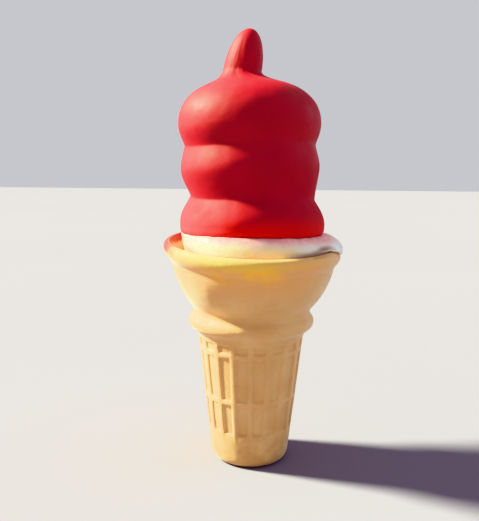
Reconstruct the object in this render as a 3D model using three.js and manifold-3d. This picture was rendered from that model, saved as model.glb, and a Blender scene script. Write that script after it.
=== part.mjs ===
// A cherry-dipped soft-serve cone: a flat-footed wafer cup, the vanilla soft serve that fills it,
// and the thin cherry shell that coats the swirl above the cup. It stands on the cup's foot.
//
// Millimetres, +Z up. The origin is the centre of the foot, on the surface it stands on.
// The front faces -Y. Angles run counter-clockwise from +X, so the left side is at half a turn.

import * as THREE from 'three';
import { mergeVertices } from 'three/addons/utils/BufferGeometryUtils.js';
import Module from 'manifold-3d';

const wasm = await Module();
wasm.setup();

// Wafer cup: stem with a moulded grid of ribs, a bead at the neck, a bowl and a flared lip.

const footRadius = 11.1;
const footRounding = 3.4;
const stemRadius = 14.3; // where the stem's slope would meet the ground
const stemSlope = 0.1125; // how much the radius grows with the height
const stemHeight = 47.2;
const stemWall = 2.05;
const floorThickness = 2.2;

const ribCount = 18;
const ribWidth = 1.35;
const ribAngle = THREE.MathUtils.degToRad(269); // of the rib at the front
const panelDepth = 0.65;
const panelDraft = 0.3; // how much narrower a panel is at its bottom, on each side
const panelRows = [[12.7, 24.4], [25.8, 42.3], [43.7, 47]]; // each row's lower and upper height

// Places on the cup's half section are (radius, height). A bend is drawn toward its corner.
const beadFoot = new THREE.Vector2(20.5, 49.3);
const beadCentre = new THREE.Vector2(20.5, 53);
const beadRadius = 2.9;
const beadNotch = new THREE.Vector2(21.4, 56.2);
const neck = new THREE.Vector2(21.8, 57.8);
const bowlCorner = new THREE.Vector2(28.2, 65.2);
const bowlTop = new THREE.Vector2(30.1, 75.3);
const bowlWall = 2;
const lipFlare = new THREE.Vector2(32.7, 77.8);
const lipRadius = 33;
const lipHeight = 82.3;
const lipEdge = 1.9; // thickness of the lip
const lipRounding = 2.3; // height of its rounded outer edge
const lipTilt = new THREE.Vector2(-0.02, 0.09); // its rise to the right and to the back
const bowlShift = 0.45; // the bowl sits a little to the right of the stem
const bowlShiftHeight = 62; // fully, from here up

// Swirl: one rope of soft serve, laid down in turns that run from the top down to the cup.

const turnHeight = 18.7;
const firstCrease = 117.1; // height of the upper crease at the front
const climbAtBack = 1.6; // 1 or more keeps a crease level at the front and steep at the back
const climbEasing = 0.3; // what the lower crease has less of it
const upperCreaseDepth = 1.9;
const upperCreaseUnevenness = 0.1; // deeper at the left, shallower at the right
const lowerCreaseDepth = 3.4;
const creaseSharpness = 1.2; // 1 for a sharp fold, 2 for a round valley
const creaseBelow = 9; // reach of a crease into the turn below it
const creaseAbove = 7.5; // and into the turn above it
const creaseAboveRight = 16; // where the lower crease passes the right side
const swirlRadius = 26.4; // at the lowest turn
const swirlNarrowing = 0.9;
const swirlWidening = 0.25;
const swirlLean = 1.4; // how far the upper turns sit to the left

const crownStart = 124;
const crownRise = 16.6;
const crownSquareness = 2.3;
const crownFade = 136; // no crease reaches above this
const crownEnd = 13.0; // radius where the crown runs into the tip
const tipCorner = new THREE.Vector2(8.0, 140.7); // of the bend from the crown to the tip
const tipRadius = 7;
const tipBase = 143;
const tipRise = 14.8;
const tipOffset = 2.9; // to the left, at its base
const tipShiftStart = 137.2; // heights between which the swirl moves over to it
const tipShiftEnd = 142.4;
const tipReturn = 0.17; // how fast it leans back to the right

const dipLine = 85.7;
const dipWobble = 0.2;
const dipRise = 1.3; // at the back, where the lip stands higher
const shellThickness = 1.5;
const gap = 0.35; // between neighbouring pieces

// Band of bare soft serve between the shell and the lip. At the right it runs over the lip, which is
// pressed in a little there, and elsewhere it ends inside the lip and stands back from it.

const overflowAngle = THREE.MathUtils.degToRad(4);
const overflowFull = THREE.MathUtils.degToRad(20); // it hangs over the lip this far to both sides
const overflowReach = THREE.MathUtils.degToRad(54); // and is inside the lip beyond this
const overflowThickness = 0.5;
const lipDent = 0.9; // fully from dentTop up, and not below dentFoot
const dentFoot = 77;
const dentTop = 80;
const standBack = 1.3;
const hollowAngle = THREE.MathUtils.degToRad(188); // it stands back further at the left
const hollowReach = THREE.MathUtils.degToRad(62);
const hollowDepth = 3.2;
const bandCorner = new THREE.Vector2(0.85, 0.35); // how far out and down its bulge is drawn
const overflowCorner = new THREE.Vector2(1, 0.28); // and where it runs over the lip
const bandBulge = 0.3;
const bandEnd = 0.26; // place on the lip's cover where it ends when it is inside the lip
const edgeInset = 0.06; // of its underside, along the cover
// The cover runs over the lip a gap away from it: up the inside, across, and down the outside.
const lipCover = [
  new THREE.Vector2(lipRadius - 3.95, lipHeight - 4),
  new THREE.Vector2(lipRadius - 2.65, lipHeight - 1.1),
  new THREE.Vector2(lipRadius - 2.3, lipHeight + 0.2),
  new THREE.Vector2(lipRadius - 1.4, lipHeight + 0.5),
  new THREE.Vector2(lipRadius + 0.22, lipHeight),
  new THREE.Vector2(lipRadius + 0.58, lipHeight - 2.0),
];

const cupColumns = 48;
const swirlColumns = 48;
const shellRows = [0, 0.07, 0.18, 0.33, 0.5, 0.68, 0.84, 0.94]; // places in a turn, from its top
const coreRows = [0, 0.14, 0.45, 0.84];
const shellCrown = [8, 3, 6]; // steps of the crown, the bend and the tip
const coreCrown = [5, 2, 3];
const rowSnap = 0.5; // rows nearer than this to the end of the turns join it

const { lerp, smoothstep, euclideanModulo } = THREE.MathUtils;

function angleBetween(first, second) {
  return Math.abs(euclideanModulo(first - second + Math.PI, 2 * Math.PI) - Math.PI);
}

// A rounded hump of height 1 around an angle, and 0 beyond its reach.
function humpAt(angle, centre, reach) {
  const away = Math.min(angleBetween(angle, centre), reach);
  return Math.cos((away / reach) * (Math.PI / 2)) ** 2;
}

// How far the soft serve runs over the lip at an angle, from 0 inside it to 1 outside it.
function overflowAt(angle) {
  return 1 - smoothstep(angleBetween(angle, overflowAngle), overflowFull, overflowReach);
}

function aroundAxis(angle, radius, z) {
  return new THREE.Vector3(radius * Math.cos(angle), radius * Math.sin(angle), z);
}

// Moves a point near the lip in toward the axis where the lip is pressed in.
function pressIn(point) {
  const over = overflowAt(Math.atan2(point.y, point.x));
  const dent = lipDent * over * smoothstep(point.z, dentFoot, dentTop);
  const shrink = 1 - dent / Math.hypot(point.x, point.y);
  point.x *= shrink;
  point.y *= shrink;
  return point;
}

// Moves a point by its share, from 0 to 1, of the lip's tilt and the bowl's shift.
function settle(point, tiltShare, shiftShare) {
  point.z += tiltShare * (lipTilt.x * point.x + lipTilt.y * point.y);
  point.x += shiftShare * bowlShift;
  return point;
}

// The same for a point of the cup's wall, whose share grows with its height.
function settleWall(point) {
  const tiltShare = smoothstep(point.z, neck.y, bowlTop.y);
  return settle(point, tiltShare, smoothstep(point.z, beadCentre.y, bowlShiftHeight));
}

function stemRadiusAt(z) {
  return stemRadius + stemSlope * z;
}

// Adds a bend to an outline: from its last point to an end, drawn toward a corner.
function bend(outline, corner, end, steps) {
  const curve = new THREE.QuadraticBezierCurve(outline.at(-1), corner, end);
  outline.push(...curve.getPoints(steps).slice(1));
}

// Half section of the cup's outside, from the middle of the foot up to the lip's edge.
function cupOutside() {
  const outline = [new THREE.Vector2(0, 0), new THREE.Vector2(footRadius, 0)];
  const footCorner = new THREE.Vector2(stemRadiusAt(0), 0);
  bend(outline, footCorner, new THREE.Vector2(stemRadiusAt(footRounding), footRounding), 3);
  outline.push(new THREE.Vector2(stemRadiusAt(stemHeight), stemHeight));
  outline.push(beadFoot);
  const bead = new THREE.EllipseCurve(...beadCentre, beadRadius, beadRadius, -Math.PI / 3, Math.PI / 4);
  outline.push(...bead.getPoints(5));
  bend(outline, beadNotch, neck, 2);
  bend(outline, bowlCorner, bowlTop, 5);
  bend(outline, lipFlare, new THREE.Vector2(lipRadius, lipHeight - lipRounding), 3);
  const crest = new THREE.Vector2(lipRadius - 0.85 * lipEdge, lipHeight);
  bend(outline, new THREE.Vector2(lipRadius, lipHeight), crest, 2);
  return outline;
}

// And of its inside, from the lip's foot down to the edge of the floor. It runs a wall's thickness
// inside the outer bend, measured level, which is a little less across the sloping wall.
function cupInside() {
  const outline = [new THREE.Vector2(bowlTop.x - bowlWall, bowlTop.y)];
  const innerNeck = new THREE.Vector2(neck.x - bowlWall, neck.y + bowlWall / 2);
  bend(outline, new THREE.Vector2(bowlCorner.x - bowlWall, bowlCorner.y + bowlWall / 2), innerNeck, 3);
  outline.push(new THREE.Vector2(stemRadiusAt(stemHeight) - stemWall, stemHeight));
  outline.push(new THREE.Vector2(stemRadiusAt(floorThickness) - stemWall, floorThickness));
  return outline;
}

// The cup without its panels, turned round the axis, as a closed body with shared vertices.
function plainCup() {
  const outline = cupOutside();
  const innerEdge = new THREE.Vector2(lipRadius - 1.2 * lipEdge, lipHeight - 0.6 * lipEdge);
  bend(outline, new THREE.Vector2(lipRadius - lipEdge, lipHeight), innerEdge, 2);
  outline.push(...cupInside(), new THREE.Vector2(0, floorThickness));
  const geometry = new THREE.LatheGeometry(outline, cupColumns);
  geometry.rotateX(Math.PI / 2);
  return merged(geometry);
}

// A geometry with its corners shared, and nothing kept but their places.
function merged(geometry) {
  geometry.deleteAttribute('normal');
  geometry.deleteAttribute('uv');
  return mergeVertices(geometry, 1e-4);
}

function toManifold(geometry) {
  return new wasm.Manifold(new wasm.Mesh({
    numProp: 3,
    vertProperties: new Float32Array(geometry.getAttribute('position').array),
    triVerts: new Uint32Array(geometry.index.array),
  }));
}

function fromManifold(solid) {
  const mesh = solid.getMesh();
  const geometry = new THREE.BufferGeometry();
  geometry.setAttribute('position', new THREE.BufferAttribute(mesh.vertProperties, 3));
  geometry.setIndex(new THREE.BufferAttribute(mesh.triVerts, 1));
  return geometry;
}

// What is taken out of the stem for one sunken panel: a block that narrows toward its bottom.
function panelCutter(zLow, zHigh, angle) {
  const block = new THREE.BoxGeometry(2, 2, 2);
  const corner = block.getAttribute('position');
  const half = Math.PI / ribCount;
  for (let i = 0; i < corner.count; i++) {
    const outside = corner.getX(i) > 0;
    const draft = outside ? -2 * panelDraft : panelDraft;
    const z = corner.getZ(i) > 0 ? zHigh - draft : zLow + draft;
    const radius = stemRadiusAt(z) + (outside ? 2 * panelDepth : -panelDepth);
    const halfWidth = stemRadiusAt(z) * Math.tan(half) - ribWidth / 2 - draft;
    corner.setXYZ(i, radius, Math.sign(corner.getY(i)) * halfWidth, z);
  }
  block.rotateZ(angle);
  return merged(block);
}

function waferCupGeometry() {
  let cup = toManifold(plainCup());
  for (const [zLow, zHigh] of panelRows) {
    for (let i = 0; i < ribCount; i++) {
      const angle = ribAngle + ((i + 0.5) / ribCount) * 2 * Math.PI;
      cup = cup.subtract(toManifold(panelCutter(zLow, zHigh, angle)));
    }
  }
  const geometry = fromManifold(cup);
  const position = geometry.getAttribute('position');
  for (let i = 0; i < position.count; i++) {
    const point = new THREE.Vector3().fromBufferAttribute(position, i);
    position.setXYZ(i, ...settleWall(point.z > bowlTop.y ? pressIn(point) : point));
  }
  return geometry;
}

// Height of the crease after a number of turns, counted from the front of the upper crease. The
// fall is gathered at the back, so that the crease runs nearly level across the front.
function creaseHeight(turns) {
  const gathered = climbAtBack - climbEasing * turns;
  const eased = turns - (gathered / (2 * Math.PI)) * Math.sin(2 * Math.PI * turns);
  return firstCrease - turnHeight * eased;
}

// Depth of the crease there. It starts behind the crown and runs out behind the lowest turn.
function creaseDepth(turns) {
  const toTheRight = Math.sin(2 * Math.PI * turns);
  const upperDepth = upperCreaseDepth * (1 - upperCreaseUnevenness * toTheRight);
  const depth = lerp(upperDepth, lowerCreaseDepth, smoothstep(turns, 0.3, 0.8));
  return depth * smoothstep(turns, -0.7, -0.35) * (1 - smoothstep(turns, 1.25, 1.7));
}

// Turns from the front to an angle, from minus a half to a half.
function turnsFromFront(angle) {
  return euclideanModulo(angle / (2 * Math.PI) - 0.25, 1) - 0.5;
}

// How much the creases take off the swirl's radius at an angle and height.
function creaseCut(angle, z) {
  let cut = 0;
  for (let k = -1; k <= 2; k++) {
    const turns = turnsFromFront(angle) + k;
    const away = z - creaseHeight(turns);
    const reachAbove = lerp(creaseAbove, creaseAboveRight, smoothstep(turns, 0.6, 1.2));
    const reach = Math.min(away > 0 ? away / reachAbove : -away / creaseBelow, 1);
    cut += creaseDepth(turns) * (1 - Math.sin((reach * Math.PI) / 2) ** creaseSharpness);
  }
  return cut;
}

// Where the swirl's middle lies left or right of the axis.
function swirlMiddle(z) {
  const lean = swirlLean * smoothstep(z, 94, 120);
  const tip = tipOffset * smoothstep(z, tipShiftStart, tipShiftEnd);
  return tipReturn * Math.max(z - tipBase, 0) - lean - tip;
}

// Radius of the turns without their creases: widest at the bottom, least at the middle turn.
function turnRadius(z) {
  const narrowed = swirlRadius - swirlNarrowing * smoothstep(z, 92, 106);
  return narrowed + swirlWidening * smoothstep(z, 112, 122);
}

// A point at an angle and a radius round the swirl's middle.
function swirlPoint(angle, radius, z) {
  const point = aroundAxis(angle, radius, z);
  point.x += swirlMiddle(z);
  return point;
}

// A point of the turns' wall, sunk by an inset.
function wallPoint(angle, z, inset) {
  return swirlPoint(angle, turnRadius(z) - creaseCut(angle, z) - inset, z);
}

// Outline of the crown and the tip, from the top turn's wall up to the very top.
function crownOutline(crownSteps, bendSteps, tipSteps) {
  const points = [];
  const crownRadius = turnRadius(crownStart);
  const power = 2 / crownSquareness;
  const crownPoint = (t) => new THREE.Vector2(
    crownRadius * Math.cos(t) ** power,
    crownStart + crownRise * Math.sin(t) ** power,
  );
  const endAngle = Math.acos((crownEnd / crownRadius) ** (1 / power));
  for (let i = 0; i <= crownSteps; i++) {
    points.push(crownPoint(endAngle * (i / crownSteps)));
  }
  bend(points, tipCorner, new THREE.Vector2(tipRadius, tipBase), bendSteps);
  for (let i = 1; i <= tipSteps; i++) {
    const t = (i / tipSteps) * (Math.PI / 2);
    points.push(new THREE.Vector2(tipRadius * Math.cos(t), tipBase + tipRise * Math.sin(t)));
  }
  return points;
}

// The crown's rings of points, from the bottom one up, and the point at the top.
function crownRings(inset, steps) {
  const outline = crownOutline(...steps);
  const rings = [];
  outline.slice(1, -1).forEach((point, i) => {
    const along = outline[i + 2].clone().sub(outline[i]).normalize();
    rings.push(ring((angle) => {
      const cut = creaseCut(angle, point.y) * (1 - smoothstep(point.y, crownStart, crownFade));
      const place = swirlPoint(angle, point.x - inset * along.y - cut, point.y);
      place.z += inset * along.x;
      return place;
    }));
  });
  const top = swirlPoint(0, 0, outline.at(-1).y);
  top.z -= inset;
  return { rings, top };
}

function columnAngle(i) {
  return Math.PI / 2 + (i / swirlColumns) * 2 * Math.PI;
}

function ring(pointAt) {
  return Array.from({ length: swirlColumns }, (_, i) => pointAt(columnAngle(i)));
}

// A closed mesh in the making, put together from rings of points and the spiral rows between.
class Skin {
  constructor() {
    this.points = [];
    this.faces = [];
  }

  addRing(points) {
    return points.map((point) => this.points.push(point) - 1);
  }

  addFace(a, b, c) {
    if (a !== b && b !== c && c !== a) this.faces.push(a, b, c);
  }

  // The strip between two rings of indices, the second one further along the surface.
  bridge(from, to) {
    for (let i = 0; i < from.length; i++) {
      const next = (i + 1) % from.length;
      this.addFace(from[i], from[next], to[next]);
      this.addFace(from[i], to[next], to[i]);
    }
  }

  // Closes a ring with a single point.
  cap(from, point) {
    const tip = this.points.push(point) - 1;
    from.forEach((index, i) => this.addFace(index, from[(i + 1) % from.length], tip));
  }

  // The wall between a lower and an upper ring. Its rows keep their place between two creases, so
  // each one falls by a turn on its way round, and ends at the ring where it would pass it.
  spiralWall(lower, upper, rows, inset) {
    const known = new Map();
    const rowCount = rows.length;
    const rowHeight = (row, turns) => {
      const whole = Math.floor(row / rowCount);
      const above = creaseHeight(turns + whole);
      return lerp(above, creaseHeight(turns + whole + 1), rows[row - whole * rowCount]);
    };
    const index = (row, i) => {
      if (i === swirlColumns) return index(row + rowCount, 0);
      const key = row * swirlColumns + i;
      if (!known.has(key)) {
        const z = rowHeight(row, i / swirlColumns - 0.5);
        if (z > this.points[upper[i]].z - rowSnap) known.set(key, upper[i]);
        else if (z < this.points[lower[i]].z + rowSnap) known.set(key, lower[i]);
        else known.set(key, this.points.push(wallPoint(columnAngle(i), z, inset)) - 1);
      }
      return known.get(key);
    };
    for (let row = -2 * rowCount; row < 3 * rowCount; row++) {
      for (let i = 0; i < swirlColumns; i++) {
        this.addFace(index(row + 1, i), index(row + 1, i + 1), index(row, i + 1));
        this.addFace(index(row + 1, i), index(row, i + 1), index(row, i));
      }
    }
  }

  // The whole swirl above a ring: the turns' wall, the crown and the tip.
  swirl(lower, rows, inset, crownSteps) {
    const crown = crownRings(inset, crownSteps);
    let last = this.addRing(ring((angle) => wallPoint(angle, crownStart, inset)));
    this.spiralWall(lower, last, rows, inset);
    for (const points of crown.rings) {
      const next = this.addRing(points);
      this.bridge(last, next);
      last = next;
    }
    this.cap(last, crown.top);
  }

  // Turns all faces so far the other way.
  flip() {
    for (let i = 0; i < this.faces.length; i += 3) {
      [this.faces[i], this.faces[i + 1]] = [this.faces[i + 1], this.faces[i]];
    }
  }

  toGeometry() {
    const geometry = new THREE.BufferGeometry().setFromPoints(this.points);
    geometry.setIndex(this.faces);
    return geometry;
  }
}

function dipHeight(angle) {
  const wobble = dipWobble * Math.sin(3 * angle + 0.5);
  return dipLine + wobble + dipRise * humpAt(angle, Math.PI / 2, Math.PI / 2);
}

// The shell: an outer skin, a skin inside it, and a rounded edge at the dip line.
function cherryShellGeometry() {
  const skin = new Skin();
  const edgeRing = (inset, rise) => skin.addRing(
    ring((angle) => wallPoint(angle, dipHeight(angle) + rise, inset)),
  );
  const inside = edgeRing(shellThickness, 0.6);
  const edgeInside = edgeRing(0.65 * shellThickness, 0);
  const edgeOutside = edgeRing(0.3 * shellThickness, 0);
  const outside = edgeRing(0, 0.6);
  skin.swirl(inside, coreRows, shellThickness, coreCrown);
  skin.flip(); // so that the inner skin faces in
  skin.bridge(inside, edgeInside);
  skin.bridge(edgeInside, edgeOutside);
  skin.bridge(edgeOutside, outside);
  skin.swirl(outside, shellRows, 0, shellCrown);
  return skin.toGeometry();
}

// A point of the bare band, which shares the lip's tilt and shift the nearer it is to the lip.
function bandPoint(angle, place) {
  const share = smoothstep(dipLine - place.y, 0, dipLine - lipHeight);
  return settle(pressIn(aroundAxis(angle, place.x, place.y)), share, share);
}

// A place on the lip's cover, from 0 at its inner end to 1 at its outer end.
function coverPlace(t) {
  const along = Math.min(t, 0.999) * (lipCover.length - 1);
  const i = Math.floor(along);
  return lipCover[i].clone().lerp(lipCover[i + 1], along - i);
}

// How far the band stands back from the lip at an angle.
function bandHollow(angle) {
  const hollow = standBack + hollowDepth * humpAt(angle, hollowAngle, hollowReach);
  return hollow * (1 - smoothstep(overflowAt(angle), 0, 0.5));
}

// A ring of the band, from 0 at its upper edge to 1 at its lower edge, over a bulge.
function bandRing(t) {
  return ring((angle) => {
    const over = overflowAt(angle);
    const wall = wallPoint(angle, dipHeight(angle), 0.1);
    const from = new THREE.Vector2(Math.hypot(wall.x, wall.y), wall.z - gap);
    const to = coverPlace(lerp(bandEnd, 1, over));
    to.x += overflowThickness * over - bandHollow(angle);
    const share = bandCorner.clone().lerp(overflowCorner, over);
    const corner = new THREE.Vector2(
      lerp(from.x, to.x, share.x) + bandBulge * (1 - over),
      lerp(from.y, to.y, share.y),
    );
    return bandPoint(angle, new THREE.QuadraticBezierCurve(from, corner, to).getPoint(t));
  });
}

// A ring of the band's underside, along the lip's cover from 0 inside the lip to 1 at the edge.
function underRing(t) {
  return ring((angle) => {
    const end = lerp(bandEnd, 1, overflowAt(angle)) - edgeInset;
    const place = coverPlace(end * t);
    place.x -= lerp(0.9, 1, t) * bandHollow(angle);
    return bandPoint(angle, place);
  });
}

// Rings of the bare band, from its upper edge out to the lip and in under its own edge.
function bandRings() {
  const corners = lipCover.map((_, i) => i / (lipCover.length - 1) / (1 - edgeInset)).slice(0, -1);
  return [...[0, 0.3, 0.65, 1].map(bandRing), ...[...corners, 1].reverse().map(underRing)];
}

// Rings of the filling inside the cup, a gap away from its wall, from the lip down to the floor.
function fillingRings() {
  return cupInside().map((wall) => ring((angle) => {
    const radius = wall.x - gap;
    const z = Math.max(wall.y, floorThickness + gap);
    return settleWall(aroundAxis(angle, radius, z));
  }));
}

// The soft serve: the filling of the cup, the bare band, and the core of the swirl.
function softServeGeometry() {
  const skin = new Skin();
  const rings = [...fillingRings().reverse(), ...bandRings().reverse()];
  const core = ring((angle) => wallPoint(angle, dipHeight(angle) - gap, shellThickness + gap));
  rings.push(core);
  let last = skin.addRing(rings[0]);
  skin.cap(last, new THREE.Vector3(0, 0, floorThickness + gap));
  skin.flip(); // so that the floor faces down
  for (const points of rings.slice(1)) {
    const next = skin.addRing(points);
    skin.bridge(last, next);
    last = next;
  }
  skin.swirl(last, coreRows, shellThickness + gap, coreCrown);
  return skin.toGeometry();
}

function part(name, geometry, look) {
  geometry.computeVertexNormals();
  const mesh = new THREE.Mesh(geometry, new THREE.MeshStandardMaterial(look));
  mesh.name = name;
  return mesh;
}

const cone = new THREE.Group();
cone.add(part('wafer_cup', waferCupGeometry(), { color: 0xe1af69, roughness: 0.7, metalness: 0 }));
cone.add(part('soft_serve', softServeGeometry(), { color: 0xfff4e0, roughness: 0.5, metalness: 0 }));
cone.add(part('cherry_shell', cherryShellGeometry(), { color: 0xc80019, roughness: 0.35, metalness: 0 }));

export default cone;
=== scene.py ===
import math

import bpy
from mathutils import Matrix, Vector, noise


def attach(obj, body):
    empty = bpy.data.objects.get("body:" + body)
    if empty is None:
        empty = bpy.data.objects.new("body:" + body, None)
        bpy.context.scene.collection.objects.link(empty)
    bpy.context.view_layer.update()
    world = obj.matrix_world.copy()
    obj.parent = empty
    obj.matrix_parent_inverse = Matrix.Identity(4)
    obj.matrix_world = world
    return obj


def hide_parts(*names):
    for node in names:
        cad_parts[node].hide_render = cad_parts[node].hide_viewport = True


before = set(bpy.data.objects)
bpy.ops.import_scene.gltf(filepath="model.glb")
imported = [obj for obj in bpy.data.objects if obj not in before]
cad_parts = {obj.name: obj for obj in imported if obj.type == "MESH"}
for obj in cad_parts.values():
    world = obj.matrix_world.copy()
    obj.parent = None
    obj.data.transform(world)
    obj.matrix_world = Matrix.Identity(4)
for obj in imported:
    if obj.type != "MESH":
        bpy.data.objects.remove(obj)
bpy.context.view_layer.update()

# A cherry-dipped soft-serve cone. Pieces are modelled in millimetres and scaled to metres when
# they are finished. The front faces -Y, angles run counter-clockwise from +X.
mm = 0.001
fullTurn = 2 * math.pi


def ease(low, high, value):
    share = min(max((value - low) / (high - low), 0.0), 1.0)
    return share * share * (3 - 2 * share)


def mix(start, end, share):
    return start + (end - start) * share


def between(first, second):  # the angle between two directions
    return abs((first - second + math.pi) % fullTurn - math.pi)


def hump(angle, centre, reach):  # 1 at the centre, 0 beyond the reach
    return math.cos(min(between(angle, centre) / reach, 1) * math.pi / 2) ** 2


def spotAt(angle, spot):  # the same round the cone, for a spot of (direction, reach) in degrees
    return hump(angle, math.radians(spot[0]), math.radians(spot[1]))


def around(angle, radius, height):
    return Vector((radius * math.cos(angle), radius * math.sin(angle), height))


def bend(outline, corner, end, steps):  # a curve from the outline's last place to the end
    start = outline[-1]
    for i in range(1, steps + 1):
        t = i / steps
        first, second, third = (1 - t) ** 2, 2 * t * (1 - t), t * t
        outline.append((
            first * start[0] + second * corner[0] + third * end[0],
            first * start[1] + second * corner[1] + third * end[1],
        ))


def grain(point, size, seed):  # soft noise from -1 to 1, with bumps of about that size
    return noise.noise(Vector((point[0] / size + seed, point[1] / size, point[2] / size)))


def unevenness(point, layers):  # layers of (depth, size, seed)
    return sum(depth * grain(point, size, seed) for depth, size, seed in layers)


def startRing(name, columns, radius, height, turn=0.0):
    bpy.ops.object.select_all(action="DESELECT")
    bpy.ops.mesh.primitive_circle_add(
        vertices=columns, radius=radius, fill_type="NOTHING",
        location=(0, 0, height), rotation=(0, 0, turn),
    )
    bpy.ops.object.transform_apply(location=True, rotation=True, scale=True)
    piece = bpy.context.object
    piece.name = name
    piece.data.name = name
    bpy.ops.object.mode_set(mode="EDIT")
    bpy.ops.mesh.select_mode(type="VERT")
    bpy.ops.mesh.select_all(action="SELECT")
    return piece


def extrudeTo(start, end):  # the selected ring goes on from one (radius, height) to the next
    bpy.ops.mesh.extrude_region_move(TRANSFORM_OT_translate={"value": (0, 0, end[1] - start[1])})
    grow = end[0] / start[0]
    bpy.ops.transform.resize(value=(grow, grow, 1), center_override=(0, 0, end[1]))


def extrudeOutline(outline):
    for start, end in zip(outline, outline[1:]):
        extrudeTo(start, end)


def turnOutward():
    bpy.ops.mesh.select_all(action="SELECT")
    bpy.ops.mesh.normals_make_consistent(inside=False)
    bpy.ops.mesh.select_all(action="DESELECT")


def closeEnds():
    bpy.ops.mesh.select_all(action="SELECT")
    bpy.ops.mesh.fill_holes(sides=0)
    turnOutward()


def selectFaces(piece, wanted):
    bpy.ops.mesh.select_mode(type="FACE")
    bpy.ops.mesh.select_all(action="DESELECT")
    bpy.ops.object.mode_set(mode="OBJECT")
    for face in piece.data.polygons:
        face.select = wanted(face.center)
    bpy.ops.object.mode_set(mode="EDIT")


def finishPiece(piece, slot, *nodes):
    bpy.ops.object.mode_set(mode="OBJECT")
    bpy.ops.object.select_all(action="DESELECT")
    piece.select_set(True)
    bpy.context.view_layer.objects.active = piece
    piece.scale = (mm, mm, mm)
    bpy.ops.object.transform_apply(location=True, rotation=True, scale=True)
    bpy.ops.object.shade_smooth()
    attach(piece, "root")
    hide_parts(*nodes)


def storeOnPoints(piece, name, values):
    attribute = piece.data.attributes.new(name, "FLOAT", "POINT")
    attribute.data.foreach_set("value", values)


class Finish:  # a material and short ways to add nodes to it
    def __init__(self, name):
        self.material = bpy.data.materials.new(name)
        self.material.use_nodes = True
        self.nodes = self.material.node_tree.nodes
        self.links = self.material.node_tree.links
        self.shader = self.nodes["Principled BSDF"]
        self.place = self.nodes.new("ShaderNodeTexCoord").outputs["Object"]

    def noise(self, size, detail, stretch=None):  # size of its bumps in millimetres
        texture = self.nodes.new("ShaderNodeTexNoise")
        texture.inputs["Scale"].default_value = 1 / (size * mm)
        texture.inputs["Detail"].default_value = detail
        source = self.place
        if stretch:
            mapping = self.nodes.new("ShaderNodeMapping")
            mapping.inputs["Scale"].default_value = stretch
            self.links.new(source, mapping.inputs["Vector"])
            source = mapping.outputs["Vector"]
        self.links.new(source, texture.inputs["Vector"])
        return texture.outputs["Fac"]

    def cells(self, size):  # distance from scattered points, for pores
        texture = self.nodes.new("ShaderNodeTexVoronoi")
        texture.inputs["Scale"].default_value = 1 / (size * mm)
        self.links.new(self.place, texture.inputs["Vector"])
        return texture.outputs["Distance"]

    def attribute(self, name):
        node = self.nodes.new("ShaderNodeAttribute")
        node.attribute_name = name
        return node.outputs["Fac"]

    def spread(self, source, low, high, toLow=0.0, toHigh=1.0):
        node = self.nodes.new("ShaderNodeMapRange")
        node.interpolation_type = "SMOOTHSTEP"
        node.inputs["From Min"].default_value = low
        node.inputs["From Max"].default_value = high
        node.inputs["To Min"].default_value = toLow
        node.inputs["To Max"].default_value = toHigh
        self.links.new(source, node.inputs["Value"])
        return node.outputs["Result"]

    def patches(self, size, detail, *limits):  # noise between two limits
        return self.spread(self.noise(size, detail), *limits)

    def maths(self, operation, first, second):
        node = self.nodes.new("ShaderNodeMath")
        node.operation = operation
        for socket, value in zip(node.inputs, (first, second)):
            if isinstance(value, (int, float)):
                socket.default_value = value
            else:
                self.links.new(value, socket)
        return node.outputs["Value"]

    def blend(self, share, first, second):
        node = self.nodes.new("ShaderNodeMix")
        node.data_type = "RGBA"
        self.links.new(share, node.inputs[0])
        for socket, value in ((node.inputs[6], first), (node.inputs[7], second)):
            if isinstance(value, tuple):
                socket.default_value = (*value, 1)
            else:
                self.links.new(value, socket)
        return node.outputs[2]

    def bump(self, height, depth, below=None):  # depth in millimetres
        node = self.nodes.new("ShaderNodeBump")
        node.inputs["Distance"].default_value = depth * mm
        self.links.new(height, node.inputs["Height"])
        if below:
            self.links.new(below, node.inputs["Normal"])
        return node.outputs["Normal"]

    def grainBump(self, size, detail, depth, below=None):  # noise as a bump
        return self.bump(self.noise(size, detail), depth, below)

    def use(self, source, socket):
        self.links.new(source, self.shader.inputs[socket])

    def set(self, socket, value):
        self.shader.inputs[socket].default_value = value

    def scatter(self, weight, radius, scale):  # light under the surface, scale in millimetres
        self.set("Subsurface Weight", weight)
        self.set("Subsurface Radius", radius)
        self.set("Subsurface Scale", scale * mm)


wafer = {
    "baked": (0.700, 0.370, 0.155),
    "pale": (0.780, 0.465, 0.220),
    # Toasted brown for the real specks, and also the tone of the painted shade.
    "toastAndShade": (0.540, 0.255, 0.092),
    # Painted glow of light through the wafer: peach, then amber where it is strongest.
    "peach": (0.800, 0.400, 0.165),
    "amber": (1.000, 0.500, 0.068),
    # Painted light: yellower where the lip and the bowl's top are lit.
    "litYellow": (0.800, 0.545, 0.140),
    "stain": (0.280, 0.004, 0.006),
    # Patches are (size in millimetres, detail, low, high), and then the values for low and high.
    "blotches": (11, 3, 0.25, 0.75),
    "specks": (0.9, 5, 0.58, 0.76, 0, 0.3),
    "shadePatches": (4, 3, 0.2, 0.7),
    "glowPatches": (7, 2, 0.25, 0.7, 0.65, 1),
    "raggedStain": (1.8, 3, 0.2, 0.8, -0.12, 0.12),
    "roughness": (1.5, 3, 0.3, 0.7, 0.52, 0.77),
    "crumb": (0.55, 6, 0.08),  # size, detail, depth
    "poreSize": 0.8,
    "poreDepth": 0.05,
    "poreLimits": (0.0, 0.35),
    "peachFrom": (0.05, 0.5),  # how much painted glow there is where a tone begins and is full
    "amberFrom": (0.45, 1),
    "stainFrom": (0.12, 0.7),
    "scatter": (0.15, (1.0, 0.45, 0.15), 1.5),  # weight, radius, scale
    "specular": 0.3,
    "sheen": 0.35,
    "sheenRoughness": 0.4,
}


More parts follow.
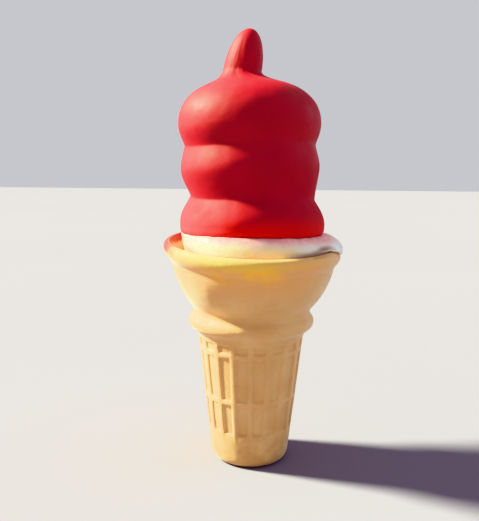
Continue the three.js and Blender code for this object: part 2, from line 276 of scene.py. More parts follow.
def waferFinish():
    finish = Finish("wafer")
    colour = finish.blend(finish.patches(*wafer["blotches"]), wafer["baked"], wafer["pale"])
    colour = finish.blend(finish.patches(*wafer["specks"]), colour, wafer["toastAndShade"])
    # Painted shade: darker towards the foot, along the crest by the cream's crevice, and inside
    # the lip at the left.
    patches = finish.patches(*wafer["shadePatches"])
    paintedShade = finish.maths("MULTIPLY", finish.attribute("paintedShade"), patches)
    colour = finish.blend(paintedShade, colour, wafer["toastAndShade"])
    # Painted glow of light through the wafer, under the lip and up its inner wall.
    glowPatches = finish.patches(*wafer["glowPatches"])
    paintedGlow = finish.maths("MULTIPLY", finish.attribute("paintedGlow"), glowPatches)
    colour = finish.blend(finish.spread(paintedGlow, *wafer["peachFrom"]), colour, wafer["peach"])
    colour = finish.blend(finish.spread(paintedGlow, *wafer["amberFrom"]), colour, wafer["amber"])
    # Painted light: the lit side of the lip is yellower.
    colour = finish.blend(finish.attribute("litYellow"), colour, wafer["litYellow"])
    ragged = finish.patches(*wafer["raggedStain"])
    stained = finish.maths("ADD", finish.attribute("stain"), ragged)
    colour = finish.blend(finish.spread(stained, *wafer["stainFrom"]), colour, wafer["stain"])
    finish.use(colour, "Base Color")
    finish.use(finish.patches(*wafer["roughness"]), "Roughness")
    crumb = finish.grainBump(*wafer["crumb"])
    pores = finish.spread(finish.cells(wafer["poreSize"]), *wafer["poreLimits"])
    finish.use(finish.bump(pores, wafer["poreDepth"], crumb), "Normal")
    finish.scatter(*wafer["scatter"])
    finish.set("Specular IOR Level", wafer["specular"])
    finish.set("Sheen Weight", wafer["sheen"])
    finish.set("Sheen Roughness", wafer["sheenRoughness"])
    return finish.material


vanilla = {
    "cream": (0.830, 0.750, 0.720),
    # Painted warm bounce light low in the band.
    "warmBounce": (0.880, 0.680, 0.350),
    # Dye run from the shell, together with painted red bounce light from it.
    "dyeAndRedBounce": (0.880, 0.260, 0.280),
    "creviceShade": (0.330, 0.145, 0.075),  # painted brown shade in the crevice along its lower edge
    "warmPatches": (5, 3, 0.2, 0.7, 0.6, 1),  # as the wafer's patches
    "dyePatches": (2.5, 3, 0.2, 0.7, 0.6, 1),
    "roughness": (2.5, 3, 0.3, 0.7, 0.34, 0.54),
    "softness": (2.2, 2, 0.15),  # size, detail, depth
    "ice": (0.35, 4, 0.02),
    "scatter": (0.6, (1.0, 0.6, 0.35), 4),  # weight, radius, scale
}


def vanillaFinish():
    finish = Finish("vanilla")
    # Painted warm bounce light from the wafer, kept off the right.
    patches = finish.patches(*vanilla["warmPatches"])
    warmth = finish.maths("MULTIPLY", finish.attribute("warmBounce"), patches)
    colour = finish.blend(warmth, vanilla["cream"], vanilla["warmBounce"])
    # Dye from the shell and painted red bounce light under the dip line.
    patches = finish.patches(*vanilla["dyePatches"])
    dye = finish.maths("MULTIPLY", finish.attribute("dyeAndRedBounce"), patches)
    colour = finish.blend(dye, colour, vanilla["dyeAndRedBounce"])
    # Painted brown shade in the crevice where the cream meets the lip.
    colour = finish.blend(finish.attribute("creviceShade"), colour, vanilla["creviceShade"])
    finish.use(colour, "Base Color")
    finish.use(finish.patches(*vanilla["roughness"]), "Roughness")
    soft = finish.grainBump(*vanilla["softness"])
    finish.use(finish.grainBump(*vanilla["ice"], soft), "Normal")
    finish.scatter(*vanilla["scatter"])
    return finish.material


candy = {
    "red": (0.410, 0.001, 0.015),
    "deep": (0.360, 0.001, 0.013),
    "edge": (0.620, 0.001, 0.002),  # painted bounce light from the cream, brighter red low on the shell
    "scuffed": (0.600, 0.060, 0.085),
    "deepPatches": (11, 3, 0.3, 0.7),  # as the wafer's patches
    "scuffs": (1.1, 2, (1, 1, 0.1)),  # size, detail, stretch
    "scuffLimits": (0.74, 0.80, 0, 0.4),
    "roughness": (7, 4, 0.3, 0.7, 0.53, 0.65),
    "ripples": (4.5, 2, 0.12),  # size, detail, depth
    "grit": (0.7, 4, 0.012),
    "frosting": 0.14,  # the lower turns are duller by this much
    "scatter": (0.08, (1.0, 0.1, 0.1), 1.2),  # weight, radius, scale
    "specular": 0.27,
}


def candyFinish():
    finish = Finish("cherryDip")
    colour = finish.blend(finish.patches(*candy["deepPatches"]), candy["red"], candy["deep"])
    # Painted bounce light from the cream: brighter red low on the shell.
    colour = finish.blend(finish.attribute("bounceFromBelow"), colour, candy["edge"])
    scuffs = finish.spread(finish.noise(*candy["scuffs"]), *candy["scuffLimits"])
    finish.use(finish.blend(scuffs, colour, candy["scuffed"]), "Base Color")
    frost = finish.maths("MULTIPLY", finish.attribute("frosted"), candy["frosting"])
    rough = finish.maths("ADD", finish.patches(*candy["roughness"]), frost)
    finish.use(rough, "Roughness")
    ripples = finish.grainBump(*candy["ripples"])
    finish.use(finish.grainBump(*candy["grit"], ripples), "Normal")
    finish.scatter(*candy["scatter"])
    finish.set("Specular IOR Level", candy["specular"])
    return finish.material


# Millimetres and degrees. Pairs are (radius, height), or the heights where something begins and
# is full.
cup = {
    "columns": 144,
    "foot": 11.1,
    "footEdge": 0.4,  # a ring this far inside it keeps its edge
    "footRounding": 3.4,
    "stemRadius": 14.3,  # where the stem's slope would meet the ground
    "stemSlope": 0.1125,
    "stemFoot": 8.0,
    "stemTop": 48.2,
    "stemWall": 2.05,
    "innerStemTop": 47.2,
    "floor": 2.2,
    "closingRings": (0.8, 6.0),  # radii of the rings that close the foot and the floor
    "beadFoot": (20.5, 49.3),
    "bead": (20.5, 53.0),
    "beadRadius": 2.9,
    "beadNotch": (21.4, 56.2),
    "neck": (21.8, 57.8),
    "bowlCorner": (28.2, 65.2),
    "bowlTop": (30.1, 75.3),
    "bowlWall": 2.0,
    "flare": (32.7, 77.8),
    "lip": (33.0, 82.3),
    "lipEdge": 1.9,  # its width
    "lipCrest": 0.85,  # as a share of its width, and so the next
    "lipInnerEdge": (1.2, 0.6),
    "lipRounding": 2.3,
    "lipDent": 0.9,  # where the cream runs over it
    "dentHeights": (77.0, 80.0),
    "tiltRight": -0.02,  # how much the lip rises to the right and to the back
    "tiltBack": 0.09,
    "shift": 0.45,  # the bowl sits a little to the right of the stem
    "shiftHeight": 62.0,
    "panelCount": 18,
    "panelRows": ((12.7, 24.4), (25.8, 42.3), (43.7, 47.0)),
    "panelDepth": 0.70,
    "panelSlope": 0.48,
    "panelCorner": 0.22,
    "ribAngle": 269,
    "foldAngle": 237,
    "foldReach": 20,
    "foldHeight": 0.4,
    "foldFoot": (57, 62),
    "foldTop": (72, 76),
    "uneven": ((0.10, 9, 0), (0.05, 2.5, 7)),  # depth, size, seed
    "sunk": 0.1,  # so that hardly a bump rises over the plain form
    # Where it takes colour, and where glow, shade and yellow light are painted on it: a spot is
    # (direction, reach).
    "glowSpot": (266, 84),
    "glowOutside": (60, 80),
    "glowInside": (74, 77),
    "glowStrengthInside": 0.9,
    "dimCrest": (80.4, 81.6),
    "crestDimming": 0.6,
    # Painted shade: darker at the foot, on the crest by the overflow, and in the crevice inside
    # the lip.
    "shadedFoot": (3, 22),
    "footShade": 0.65,
    "crestShadeHeights": (81.2, 81.8),
    "shadeSpotInside": (202, 34),
    "shadeInside": (78.8, 80.4),
    # Painted light: where the lip's outside is lit yellow.
    "litYellowSpot": (240, 88),
    "litYellowOutside": (77.4, 80.6),
    "stainSpotOutside": (175, 60),
    "stainOutside": (78.4, 80.6),
    "stainSpotInside": (158, 62),
    "stainInside": (78.4, 81.4),
    "raggedStain": ((0.9, 5, 2),),  # as uneven
}
overflow = {  # where the cream runs over the lip, and pushes it in
    "angle": 4,
    "full": 20,  # it hangs all the way over this far to both sides
    "reach": 54,
    "thickness": 0.46,
    "creviceSpot": (310, 26),  # painted crevice shade runs down where it begins
}


def overflowAt(angle):  # how far the cream runs over the lip, from 0 inside it to 1 outside it
    full, reach = math.radians(overflow["full"]), math.radians(overflow["reach"])
    return 1 - ease(full, reach, between(angle, math.radians(overflow["angle"])))


def pressIn(point):  # the lip gives way where the cream hangs over it
    over = overflowAt(math.atan2(point.y, point.x))
    dent = cup["lipDent"] * over * ease(*cup["dentHeights"], point.z)
    shrink = 1 - dent / math.hypot(point.x, point.y)
    return Vector((point.x * shrink, point.y * shrink, point.z))


def stemRadiusAt(height):
    return cup["stemRadius"] + cup["stemSlope"] * height


def tiltAndShift(point, tiltShare, shiftShare):
    rise = cup["tiltRight"] * point.x + cup["tiltBack"] * point.y
    return point + Vector((shiftShare * cup["shift"], 0, tiltShare * rise))


def tiltWall(point):
    tiltShare = ease(cup["neck"][1], cup["bowlTop"][1], point.z)
    return tiltAndShift(point, tiltShare, ease(cup["bead"][1], cup["shiftHeight"], point.z))


def insideWall():  # from the lip's foot down to the edge of the floor
    wall = cup["bowlWall"]
    outline = [(cup["bowlTop"][0] - wall, cup["bowlTop"][1])]
    corner, neck = (
        (radius - wall, height + wall / 2) for radius, height in (cup["bowlCorner"], cup["neck"])
    )
    bend(outline, corner, neck, steps=10)
    for height in (cup["innerStemTop"], cup["floor"]):
        outline.append((stemRadiusAt(height) - cup["stemWall"], height))
    return outline


def cupOutline():  # from the middle of the foot up the outside and down to the floor's middle
    foot = (*cup["closingRings"], cup["foot"] - cup["footEdge"], cup["foot"])
    outline = [(radius, 0.0) for radius in foot]
    top = (stemRadiusAt(cup["footRounding"]), cup["footRounding"])
    bend(outline, (stemRadiusAt(0), 0.0), top, steps=5)
    heights = [cup["stemFoot"]]
    for low, high in cup["panelRows"]:  # a tall row has a ring at its middle too
        middle = (low + high) / 2
        heights += [low, middle, high] if high - low > 5 else [low, high]
    outline += [(stemRadiusAt(height), height) for height in heights]
    stemTop = (stemRadiusAt(cup["stemTop"]), cup["stemTop"])
    bend(outline, stemTop, cup["beadFoot"], steps=2)
    radius, height = cup["bead"]
    for i in range(9):
        turn = mix(-math.pi / 3, math.pi / 4, i / 8)
        outline.append((
            radius + cup["beadRadius"] * math.cos(turn),
            height + cup["beadRadius"] * math.sin(turn),
        ))
    bend(outline, cup["beadNotch"], cup["neck"], steps=4)
    bend(outline, cup["bowlCorner"], cup["bowlTop"], steps=12)
    lipRadius, lipHeight = cup["lip"]
    edge = cup["lipEdge"]
    inward, down = cup["lipInnerEdge"]
    crest = (lipRadius - cup["lipCrest"] * edge, lipHeight)
    innerEdge = (lipRadius - inward * edge, lipHeight - down * edge)
    bend(outline, cup["flare"], (lipRadius, lipHeight - cup["lipRounding"]), steps=6)
    bend(outline, cup["lip"], crest, steps=5)
    bend(outline, (lipRadius - edge, lipHeight), innerEdge, steps=4)
    outline += insideWall()
    outline += [(radius, cup["floor"]) for radius in reversed(cup["closingRings"])]
    return outline


def panelHolds(centre, low, high):  # whether a face lies on a panel between two ribs
    inside = math.hypot(centre.x, centre.y) < stemRadiusAt(centre.z) - 1
    if inside or not low < centre.z < high:
        return False
    pitch = fullTurn / cup["panelCount"]
    fromRib = math.atan2(centre.y, centre.x) - math.radians(cup["ribAngle"])
    away = (fromRib + pitch / 2) % pitch - pitch / 2
    return abs(away) > 1.1 * fullTurn / cup["columns"]  # a rib is two columns wide


def pressPanels(piece):
    depth = -cup["panelDepth"]
    for low, high in cup["panelRows"]:
        selectFaces(piece, lambda centre: panelHolds(centre, low, high))
        bpy.ops.mesh.inset(thickness=cup["panelSlope"], depth=depth, use_even_offset=True)
        bpy.ops.mesh.inset(thickness=cup["panelCorner"], depth=0)


def bowlFold(angle, height):  # a slight upright fold where the bowl turns away at the left
    away = between(angle, math.radians(cup["foldAngle"])) / math.radians(cup["foldReach"])
    upright = ease(*cup["foldFoot"], height) * (1 - ease(*cup["foldTop"], height))
    return cup["foldHeight"] * max(1 - away, 0) * upright


# Painted glow: outside under the lip, and up the lip's inner wall, less where the painted shade
# is.
def paintedGlowAt(angle, height, inside):
    if inside:
        glow = cup["glowStrengthInside"] * ease(*cup["glowInside"], height)
        return glow * (1 - paintedShadeAt(angle, height, inside))
    crest = 1 - cup["crestDimming"] * ease(*cup["dimCrest"], height)
    return ease(*cup["glowOutside"], height) * crest * spotAt(angle, cup["glowSpot"])


def paintedShadeAt(angle, height, inside):  # painted shade: darker at the foot, along the lip's crest where the crevice shade runs on, and in the crevice inside the lip at the left
    if inside:
        return spotAt(angle, cup["shadeSpotInside"]) * (1 - ease(*cup["shadeInside"], height))
    crestShade = spotAt(angle, overflow["creviceSpot"]) * ease(*cup["crestShadeHeights"], height)
    return max(cup["footShade"] * (1 - ease(*cup["shadedFoot"], height)), crestShade)


# Painted light: yellower on the lit outside of the lip's top.
def litYellowAt(angle, height, inside):
    if inside:
        return 0
    return ease(*cup["litYellowOutside"], height) * spotAt(angle, cup["litYellowSpot"])


def stainAt(angle, height, inside):
    height += unevenness(around(angle, cup["lip"][0], 0), cup["raggedStain"])
    side = "Inside" if inside else "Outside"
    return ease(*cup["stain" + side], height) * spotAt(angle, cup["stainSpot" + side])


def buildCup():
    outline = cupOutline()
    step = fullTurn / cup["columns"]
    turn = math.radians(cup["ribAngle"]) % step
    piece = startRing("waferCup", cup["columns"], *outline[0], turn)
    extrudeOutline(outline)
    closeEnds()
    pressPanels(piece)
    bpy.ops.object.mode_set(mode="OBJECT")
    smoothing = piece.modifiers.new("rounding", "SUBSURF")
    smoothing.levels = smoothing.render_levels = 1
    smoothing.use_limit_surface = False
    bpy.ops.object.modifier_apply(modifier=smoothing.name)
    tones = {"paintedGlow": paintedGlowAt, "paintedShade": paintedShadeAt, "litYellow": litYellowAt, "stain": stainAt}
    shares = {name: [] for name in tones}
    normals = [vertex.normal.copy() for vertex in piece.data.vertices]
    for vertex, normal in zip(piece.data.vertices, normals):
        place = vertex.co
        angle = math.atan2(place.y, place.x)
        direction = around(angle, 1, 0)
        inside = normal.dot(direction) < -0.2  # it faces the middle
        for name, toneAt in tones.items():
            shares[name].append(toneAt(angle, place.z, inside))
        out = unevenness(place, cup["uneven"]) - cup["sunk"] + bowlFold(angle, place.z)
        place = place + direction * out * ease(0, 2, place.z)  # the foot stays as it is
        vertex.co = tiltWall(pressIn(place) if place.z > cup["bowlTop"][1] else place)
    for name, values in shares.items():
        storeOnPoints(piece, name, values)
    piece.data.materials.append(waferFinish())
    finishPiece(piece, "wafer", "wafer_cup")
    print("wafer cup done")


swirl = {  # the form that the shell and the core of the soft serve are laid on
    "turnHeight": 18.7,
    "firstCrease": 117.1,  # height of the upper crease at the front
    "climbAtBack": 1.6,
    "climbEasing": 0.3,
    "upperDepth": 1.9,
    "upperUnevenness": 0.1,
    "lowerDepth": 3.4,
    "sharpness": 1.2,
    "reachBelow": 9.0,
    "reachAbove": 7.5,
    "reachAboveRight": 16.0,
    "begins": (-0.7, -0.35),  # in turns down from the front of the upper crease
    "deepens": (0.3, 0.8),
    "opensOut": (0.6, 1.2),
    "ends": (1.25, 1.7),
    "radius": 26.4,
    "narrowing": 0.9,
    "narrowed": (92, 106),  # the heights between which that comes about
    "widening": 0.25,
    "widened": (112, 122),
    "lean": 1.4,
    "leaning": (94, 120),
    "crown": 124.0,
    "crownRise": 16.6,
    "crownSquareness": 2.3,
    "crownEnd": 13.0,
    "creasesFade": (124.0, 136.0),
    # The tip rises from a corner over the crown, moves to the left and then leans to the right.
    "tipCorner": (8.0, 140.7),
    "tipRadius": 7.0,
    "tipBase": 143.0,
    "tipRise": 14.8,
    "tipOffset": 2.9,
    "tipMoved": (137.2, 142.4),
    "tipReturn": 0.17,
    "top": 0.05,  # radius of the ring that closes it
    "uneven": ((0.16, 10, 0), (0.07, 4, 3)),  # depth, size, seed
    "unevenAt": 26,  # radius where the unevenness is read
    "sunk": 0.12,
    "smoothTip": (148, 156),  # the unevenness fades out here
}
dip = {
    "columns": 200,
    "line": 85.7,
    "wobble": 0.2,
    "ragged": ((0.22, 3.2, 0), (0.12, 1.2, 5)),  # depth, size, seed
    "riseAtBack": 1.3,
    "backSpot": (90, 90),
    "thickness": 1.5,
    "turnedIn": 0.32,  # how far its lower edge rounds inward, between two heights over the line
    "edgeHeights": (-0.2, 1.5),
    # Rings round its lower edge, as (share of its thickness, height over the line).
    "edge": ((0.94, 0.25), (0.75, 0.04), (0.5, 0.0), (0.25, 0.02), (0.08, 0.12)),
    "firstRow": 0.35,
    "rowHeight": 0.4,
    "steps": (44, 14, 30),  # rings on the crown, up to the tip and on the tip
    "hiddenRowHeight": 2.0,
    "hiddenSteps": (8, 3, 6),
    "bounceFromBelow": (1, 9),  # heights over the line where the painted bounce light fades out, and so the next
    "frosted": (14, 34),
}


def creaseHeight(turns):  # it falls by one turn's height in each turn round the cone
    gathered = swirl["climbAtBack"] - swirl["climbEasing"] * turns
    eased = turns - gathered / fullTurn * math.sin(fullTurn * turns)
    return swirl["firstCrease"] - swirl["turnHeight"] * eased


def creaseDepth(turns):  # from the upper crease to the lower one
    upper = swirl["upperDepth"] * (1 - swirl["upperUnevenness"] * math.sin(fullTurn * turns))
    depth = mix(upper, swirl["lowerDepth"], ease(*swirl["deepens"], turns))
    return depth * ease(*swirl["begins"], turns) * (1 - ease(*swirl["ends"], turns))


def creaseCut(angle, height):  # how far the creases cut in at a place
    turnsFromFront = (angle / fullTurn - 0.25) % 1 - 0.5
    cut = 0.0
    for k in range(-1, 3):
        turns = turnsFromFront + k
        away = height - creaseHeight(turns)
        opened = ease(*swirl["opensOut"], turns)
        above = mix(swirl["reachAbove"], swirl["reachAboveRight"], opened)
        reach = min(away / above if away > 0 else -away / swirl["reachBelow"], 1)
        if reach < 1:
            cut += creaseDepth(turns) * (1 - math.sin(reach * math.pi / 2) ** swirl["sharpness"])
    return cut


def swirlMiddle(height):  # how far to the right the swirl's middle is
    lean = swirl["lean"] * ease(*swirl["leaning"], height)
    tip = swirl["tipOffset"] * ease(*swirl["tipMoved"], height)
    return swirl["tipReturn"] * max(height - swirl["tipBase"], 0) - lean - tip


def turnRadius(height):
    narrowed = swirl["radius"] - swirl["narrowing"] * ease(*swirl["narrowed"], height)
    return narrowed + swirl["widening"] * ease(*swirl["widened"], height)


def swirlPoint(angle, radius, height):
    return around(angle, radius, height) + Vector((swirlMiddle(height), 0, 0))


def wallPoint(angle, height, inset):  # on the turns, so far inside the form
    return swirlPoint(angle, turnRadius(height) - creaseCut(angle, height) - inset, height)


def crownOutline(crownSteps, bendSteps, tipSteps):  # from the last turn to the very top
    power = 2 / swirl["crownSquareness"]
    foot = turnRadius(swirl["crown"])
    endTurn = math.acos((swirl["crownEnd"] / foot) ** (1 / power))
    outline = []
    for i in range(crownSteps + 1):
        turn = endTurn * i / crownSteps
        outline.append((
            foot * math.cos(turn) ** power,
            swirl["crown"] + swirl["crownRise"] * math.sin(turn) ** power,
        ))
    bend(outline, swirl["tipCorner"], (swirl["tipRadius"], swirl["tipBase"]), bendSteps)
    for i in range(1, tipSteps + 1):
        turn = i / tipSteps * math.pi / 2
        outline.append((
            swirl["tipRadius"] * math.cos(turn),
            swirl["tipBase"] + swirl["tipRise"] * math.sin(turn),
        ))
    return outline


def dipHeight(angle):  # of the shell's lower edge
    ragged = unevenness(around(angle, swirl["unevenAt"], 0), dip["ragged"])
    rise = dip["riseAtBack"] * spotAt(angle, dip["backSpot"])
    return dip["line"] + dip["wobble"] * math.sin(3 * angle + 0.5) + rise + ragged


def sinkAt(angle, height):  # how far the swirl's surface lies below the plain form
    place = around(angle, swirl["unevenAt"], height)
    calm = 1 - ease(*swirl["smoothTip"], height)
    turnedIn = dip["turnedIn"] * (1 - ease(*dip["edgeHeights"], height - dipHeight(angle)))
    return turnedIn + calm * (swirl["sunk"] + unevenness(place, swirl["uneven"]))


def skinRings(inset, rowHeight, crownSteps):  # from just over the dip line to the very top
    count = round((swirl["crown"] - dip["line"]) / rowHeight)

    def onWall(share):
        def place(angle):
            height = mix(dipHeight(angle) + dip["firstRow"], swirl["crown"], share)
            return wallPoint(angle, height, inset + sinkAt(angle, height))
        return place

    def onCrown(radius, height, along):
        fade = 1 - ease(*swirl["creasesFade"], height)

        def place(angle):
            sunk = inset + sinkAt(angle, height)
            inward = sunk * along[1] + creaseCut(angle, height) * fade
            return swirlPoint(angle, radius - inward, height) + Vector((0, 0, sunk * along[0]))
        return place

    rings = [onWall(i / count) for i in range(count + 1)]
    outline = crownOutline(*crownSteps)
    for i in range(1, len(outline) - 1):
        before, after = outline[i - 1], outline[i + 1]
        length = math.hypot(after[0] - before[0], after[1] - before[1])
        along = ((after[0] - before[0]) / length, (after[1] - before[1]) / length)
        rings.append(onCrown(*outline[i], along))
    rings.append(onCrown(swirl["top"], outline[-1][1], (-1, 0)))
    return rings


def edgeRing(inset, rise):  # round the shell's lower edge
    def place(angle):
        height = dipHeight(angle) + rise
        return wallPoint(angle, height, inset + sinkAt(angle, height))
    return place


# A straight tube whose rings are laid on the form. It also returns which ring each point is on.
def tubeOnForm(name, columns, rings):
    piece = startRing(name, columns, 1, 0)
    for _ in rings[1:]:
        bpy.ops.mesh.extrude_region_move(TRANSFORM_OT_translate={"value": (0, 0, 1)})
    closeEnds()
    bpy.ops.object.mode_set(mode="OBJECT")
    ringOf = [round(vertex.co.z) for vertex in piece.data.vertices]
    for vertex, i in zip(piece.data.vertices, ringOf):
        vertex.co = rings[i](math.atan2(vertex.co.y, vertex.co.x))
    bpy.ops.object.mode_set(mode="EDIT")
    turnOutward()
    bpy.ops.object.mode_set(mode="OBJECT")
    return piece, ringOf


def buildDip():
    thickness = dip["thickness"]
    inner = skinRings(thickness, dip["hiddenRowHeight"], dip["hiddenSteps"])
    edge = [edgeRing(thickness * share, rise) for share, rise in dip["edge"]]
    outer = skinRings(0, dip["rowHeight"], dip["steps"])
    piece, _ = tubeOnForm("cherryDip", dip["columns"], inner[::-1] + edge + outer)
    heights = [vertex.co.z - dip["line"] for vertex in piece.data.vertices]
    for name in ("bounceFromBelow", "frosted"):
        storeOnPoints(piece, name, [1 - ease(*dip[name], height) for height in heights])
    piece.data.materials.append(candyFinish())
    finishPiece(piece, "cherry_dip", "cherry_shell")
    print("cherry dip done")


band = {
    "columns": 180,
    "rings": 14,
    "underRings": 14,
    "closingRing": 1.0,  # radius of the ring that closes the filling
    "standBack": 1.3,  # how far inside the lip it ends, where it doesn't run over it
    "hollowSpot": (188, 62),  # (direction, reach) in degrees
    "hollowDepth": 3.2,
    "hollowEnds": (0, 0.5),  # as the overflow begins
    "hollowAtStart": 0.9,
    # The lip's cover runs over it a gap away from it, up the inside, across and down the outside,
    # each place as (distance from the lip's outside, height over its top).
    "cover": (
        (-3.95, -4.0), (-2.65, -1.1), (-2.3, 0.2), (-1.4, 0.5), (0.22, 0.0), (0.58, -2.0),
    ),
    "corner": (0.85, 0.35),  # how far out and down its bulge is drawn
    "overflowCorner": (1.0, 0.28),
    "bulge": 0.3,
    "end": 0.26,  # how far along the cover, where it doesn't run over the lip
    "edgeInset": 0.06,
    "thinning": 0.28,  # toward its edge outside the lip
    "thinned": (0.75, 1),
    "inset": 0.15,  # under the shell's edge, inward and down
    "gap": 0.06,
    "hiddenGap": 0.35,  # to the shell and to the cup
    "ragged": ((0.15, 5, 0),),  # depth, size, seed
    "raggedAt": 30,  # radius where it is read
    "soft": ((0.1, 5, 0),),
    "softAt": 28,
    "dyeAndRedBounce": (0.1, 3.8),  # dye run from the shell and painted red bounce light from it, at depths under the dip line
    # Painted warm bounce light, at depths under the dip line.
    "warmBounce": (0.8, 4.5),
    "coolRight": (35, 75),  # from the right, where it stays cool, round to where it doesn't
    "paleSpot": (215, 45),  # less of both colours here
    "undyed": 0.6,
    "unwarmed": 0.5,
    # Painted crevice shade, brown: strength, (direction, reach), and how far down the band it
    # begins and is full.
    "creviceShades": (
        (0.6, (270, 52), (0.86, 0.95)),
        (0.9, overflow["creviceSpot"], (0.60, 0.88)),
        (0.6, (215, 20), (0.75, 0.92)),
    ),
    "pocket": (0.9, (323, 12), (0.82, 0.24)),  # a painted shadow pocket under the overhang; the last pair is its middle and reach
    "unshadedOver": (0.3, 0.8),  # the painted crevice shade stays off its edge where it runs over the lip
    "unshadedDown": (0.9, 1),
}


def bandPoint(angle, radius, height):
    share = ease(0, dip["line"] - cup["lip"][1], dip["line"] - height)
    return tiltAndShift(pressIn(around(angle, radius, height)), share, share)


def coverPlace(t):  # on the lip's cover, from 0 at its inner end to 1 at its outer end
    cover = band["cover"]
    along = min(t, 0.999) * (len(cover) - 1)
    i = int(along)
    start, end = cover[i], cover[i + 1]
    out, up = mix(start[0], end[0], along - i), mix(start[1], end[1], along - i)
    return cup["lip"][0] + out, cup["lip"][1] + up


def bandHollow(angle):  # how far the band stands back from the lip
    hollow = band["standBack"] + band["hollowDepth"] * spotAt(angle, band["hollowSpot"])
    return hollow * (1 - ease(*band["hollowEnds"], overflowAt(angle)))


def bandRing(t):  # from 0 at the dip line to 1 at the band's lower edge
    def place(angle):
        over = overflowAt(angle)
        wall = wallPoint(angle, dipHeight(angle), band["inset"] + dip["turnedIn"])
        start = (math.hypot(wall.x, wall.y), wall.z - band["gap"])
        endRadius, endHeight = coverPlace(mix(band["end"], 1, over))
        ragged = over * unevenness(around(angle, band["raggedAt"], 0), band["ragged"])
        endRadius += overflow["thickness"] * over - bandHollow(angle) - abs(ragged)
        end = (endRadius, endHeight + ragged)
        out, down = (mix(*pair, over) for pair in zip(band["corner"], band["overflowCorner"]))
        bulge = band["bulge"] * (1 - over)
        corner = (mix(start[0], end[0], out) + bulge, mix(start[1], end[1], down))
        curve = (((1 - t) ** 2, start), (2 * t * (1 - t), corner), (t * t, end))
        radius, height = (sum(share * spot[i] for share, spot in curve) for i in (0, 1))
        soft = unevenness(around(angle, band["softAt"], 10 * t), band["soft"])
        thinned = band["thinning"] * over * ease(*band["thinned"], t)
        return bandPoint(angle, radius + soft * math.sin(math.pi * t) - thinned, height)
    return place


def underRing(t):  # along the lip's cover, from 0 inside the lip to 1 at the band's edge
    def place(angle):
        end = mix(band["end"], 1, overflowAt(angle)) - band["edgeInset"]
        radius, height = coverPlace(end * t)
        hollow = mix(band["hollowAtStart"], 1, t) * bandHollow(angle)
        return bandPoint(angle, radius - hollow, height)
    return place


def fillingRing(wall):  # a gap inside a place on the cup's inner wall
    def place(angle):
        height = max(wall[1], cup["floor"] + band["hiddenGap"])
        return tiltWall(around(angle, wall[0] - band["hiddenGap"], height))
    return place


def creviceShadeAt(angle, t):  # painted crevice shade along the lower edge, and up into the fold where the overflow begins
    marks = [share * spotAt(angle, spot) * ease(*down, t) for share, spot, down in band["creviceShades"]]
    share, spot, down = band["pocket"]
    marks.append(share * spotAt(angle, spot) * hump(t, *down))
    unshaded = ease(*band["unshadedOver"], overflowAt(angle)) * ease(*band["unshadedDown"], t)
    return max(marks) * (1 - unshaded)


def buildSoftServe():
    filling = [fillingRing(wall) for wall in insideWall()]
    filling.append(fillingRing((band["closingRing"], cup["floor"])))
    under = [underRing(i / band["underRings"]) for i in range(band["underRings"] + 1)]
    bare = [bandRing(i / band["rings"]) for i in range(band["rings"] + 1)]
    gap = band["hiddenGap"]
    sunk = dip["thickness"] + gap
    core = [lambda angle: wallPoint(angle, dipHeight(angle) - gap, sunk)]
    core += skinRings(sunk, dip["hiddenRowHeight"], dip["hiddenSteps"])[1:]
    rings = filling[::-1] + under + bare[::-1] + core
    piece, ringOf = tubeOnForm("softServe", band["columns"], rings)
    shares = {"dyeAndRedBounce": [], "warmBounce": [], "creviceShade": []}
    lowest = len(filling) + len(under)
    for vertex, i in zip(piece.data.vertices, ringOf):
        angle = math.atan2(vertex.co.y, vertex.co.x)
        below = dipHeight(angle) - vertex.co.z
        pale = spotAt(angle, band["paleSpot"])
        # Dye and painted red bounce light, fading with depth under the dip line.
        dyeAndRedBounce = 1 - ease(*band["dyeAndRedBounce"], below)
        # Painted warm bounce light, less at the right and at the pale spot.
        warmBounce = ease(*band["warmBounce"], below)
        warmBounce *= ease(*band["coolRight"], math.degrees(between(angle, 0)))
        shares["dyeAndRedBounce"].append((1 - band["undyed"] * pale) * dyeAndRedBounce)
        shares["warmBounce"].append((1 - band["unwarmed"] * pale) * warmBounce)
        # Painted crevice shade along the band's lower edge.
        shares["creviceShade"].append(creviceShadeAt(angle, min(1 - (i - lowest) / band["rings"], 1)))
    for name, values in shares.items():
        storeOnPoints(piece, name, values)
    piece.data.materials.append(vanillaFinish())
    finishPiece(piece, "vanilla", "soft_serve")
    print("soft serve done")


view = {
    "place": (-4.6, -225.0, 105.0),
    "pitch": 7.6,  # degrees down
    "roll": 0.55,
    "lens": 42.2,
}


def buildCamera():
    bpy.ops.object.camera_add()
    camera = bpy.context.object
    camera.data.lens = view["lens"]
    camera.data.clip_start = 0.01
    turned = Matrix.Rotation(math.radians(90 - view["pitch"]), 4, "X")
    rolled = Matrix.Rotation(math.radians(view["roll"]), 4, "Z")
    camera.matrix_world = Matrix.Translation(Vector(view["place"]) * mm) @ turned @ rolled
    bpy.context.scene.camera = camera


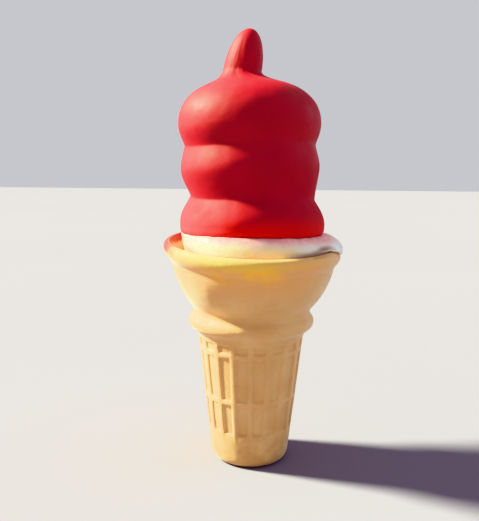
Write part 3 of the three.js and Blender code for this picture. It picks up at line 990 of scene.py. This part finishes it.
light = {
    "keyTurn": 168.0,  # degrees round from +X, so from the left and a little behind
    "keyHeight": 36.0,
    "keySoftness": 8.0,
    "keyStrength": 19.5,
    "keyColour": (0.88, 1.12, 0.72),
    "rimTurn": 20.0,  # a faint cool light from the right and behind
    "rimHeight": 15.0,
    "rimSoftness": 60.0,
    "rimStrength": 1.0,
    "rimColour": (0.52, 0.78, 0.92),
    "skyStrength": 0.64,
    "skyColour": (0.94, 0.95, 1.0),
}


def toward(turn, height):  # a direction from its angle round and its angle up, in degrees
    turn, height = math.radians(turn), math.radians(height)
    level = math.cos(height)
    return Vector((math.cos(turn) * level, math.sin(turn) * level, math.sin(height)))


def buildLights():
    for name in ("key", "rim"):
        direction = toward(light[name + "Turn"], light[name + "Height"])
        bpy.ops.object.light_add(type="SUN", location=direction)
        lamp = bpy.context.object
        lamp.name = name
        lamp.rotation_euler = direction.to_track_quat("Z", "Y").to_euler()
        lamp.data.angle = math.radians(light[name + "Softness"])
        lamp.data.energy = light[name + "Strength"]
        lamp.data.color = light[name + "Colour"]
    world = bpy.data.worlds.new("studio")
    world.use_nodes = True
    background = world.node_tree.nodes["Background"]
    background.inputs["Color"].default_value = (*light["skyColour"], 1)
    background.inputs["Strength"].default_value = light["skyStrength"]
    bpy.context.scene.world = world
    bpy.context.scene.view_settings.view_transform = "Khronos PBR Neutral"


stage = {
    "size": 12,  # metres
    "tones": ((0.222, 0.175, 0.237), (0.234, 0.185, 0.250)),
    "cloud": 400,
    "roughness": 0.9,
}


def buildFloor():
    bpy.ops.object.select_all(action="DESELECT")
    bpy.ops.mesh.primitive_plane_add(size=stage["size"])
    floor = bpy.context.object
    floor.name = "floor"
    finish = Finish("paleFloor")
    finish.use(finish.blend(finish.noise(stage["cloud"], 2), *stage["tones"]), "Base Color")
    finish.set("Roughness", stage["roughness"])
    finish.set("Specular IOR Level", 0)
    floor.data.materials.append(finish.material)


buildCamera()
buildLights()
buildFloor()
print("stage done")
buildCup()
buildSoftServe()
buildDip()
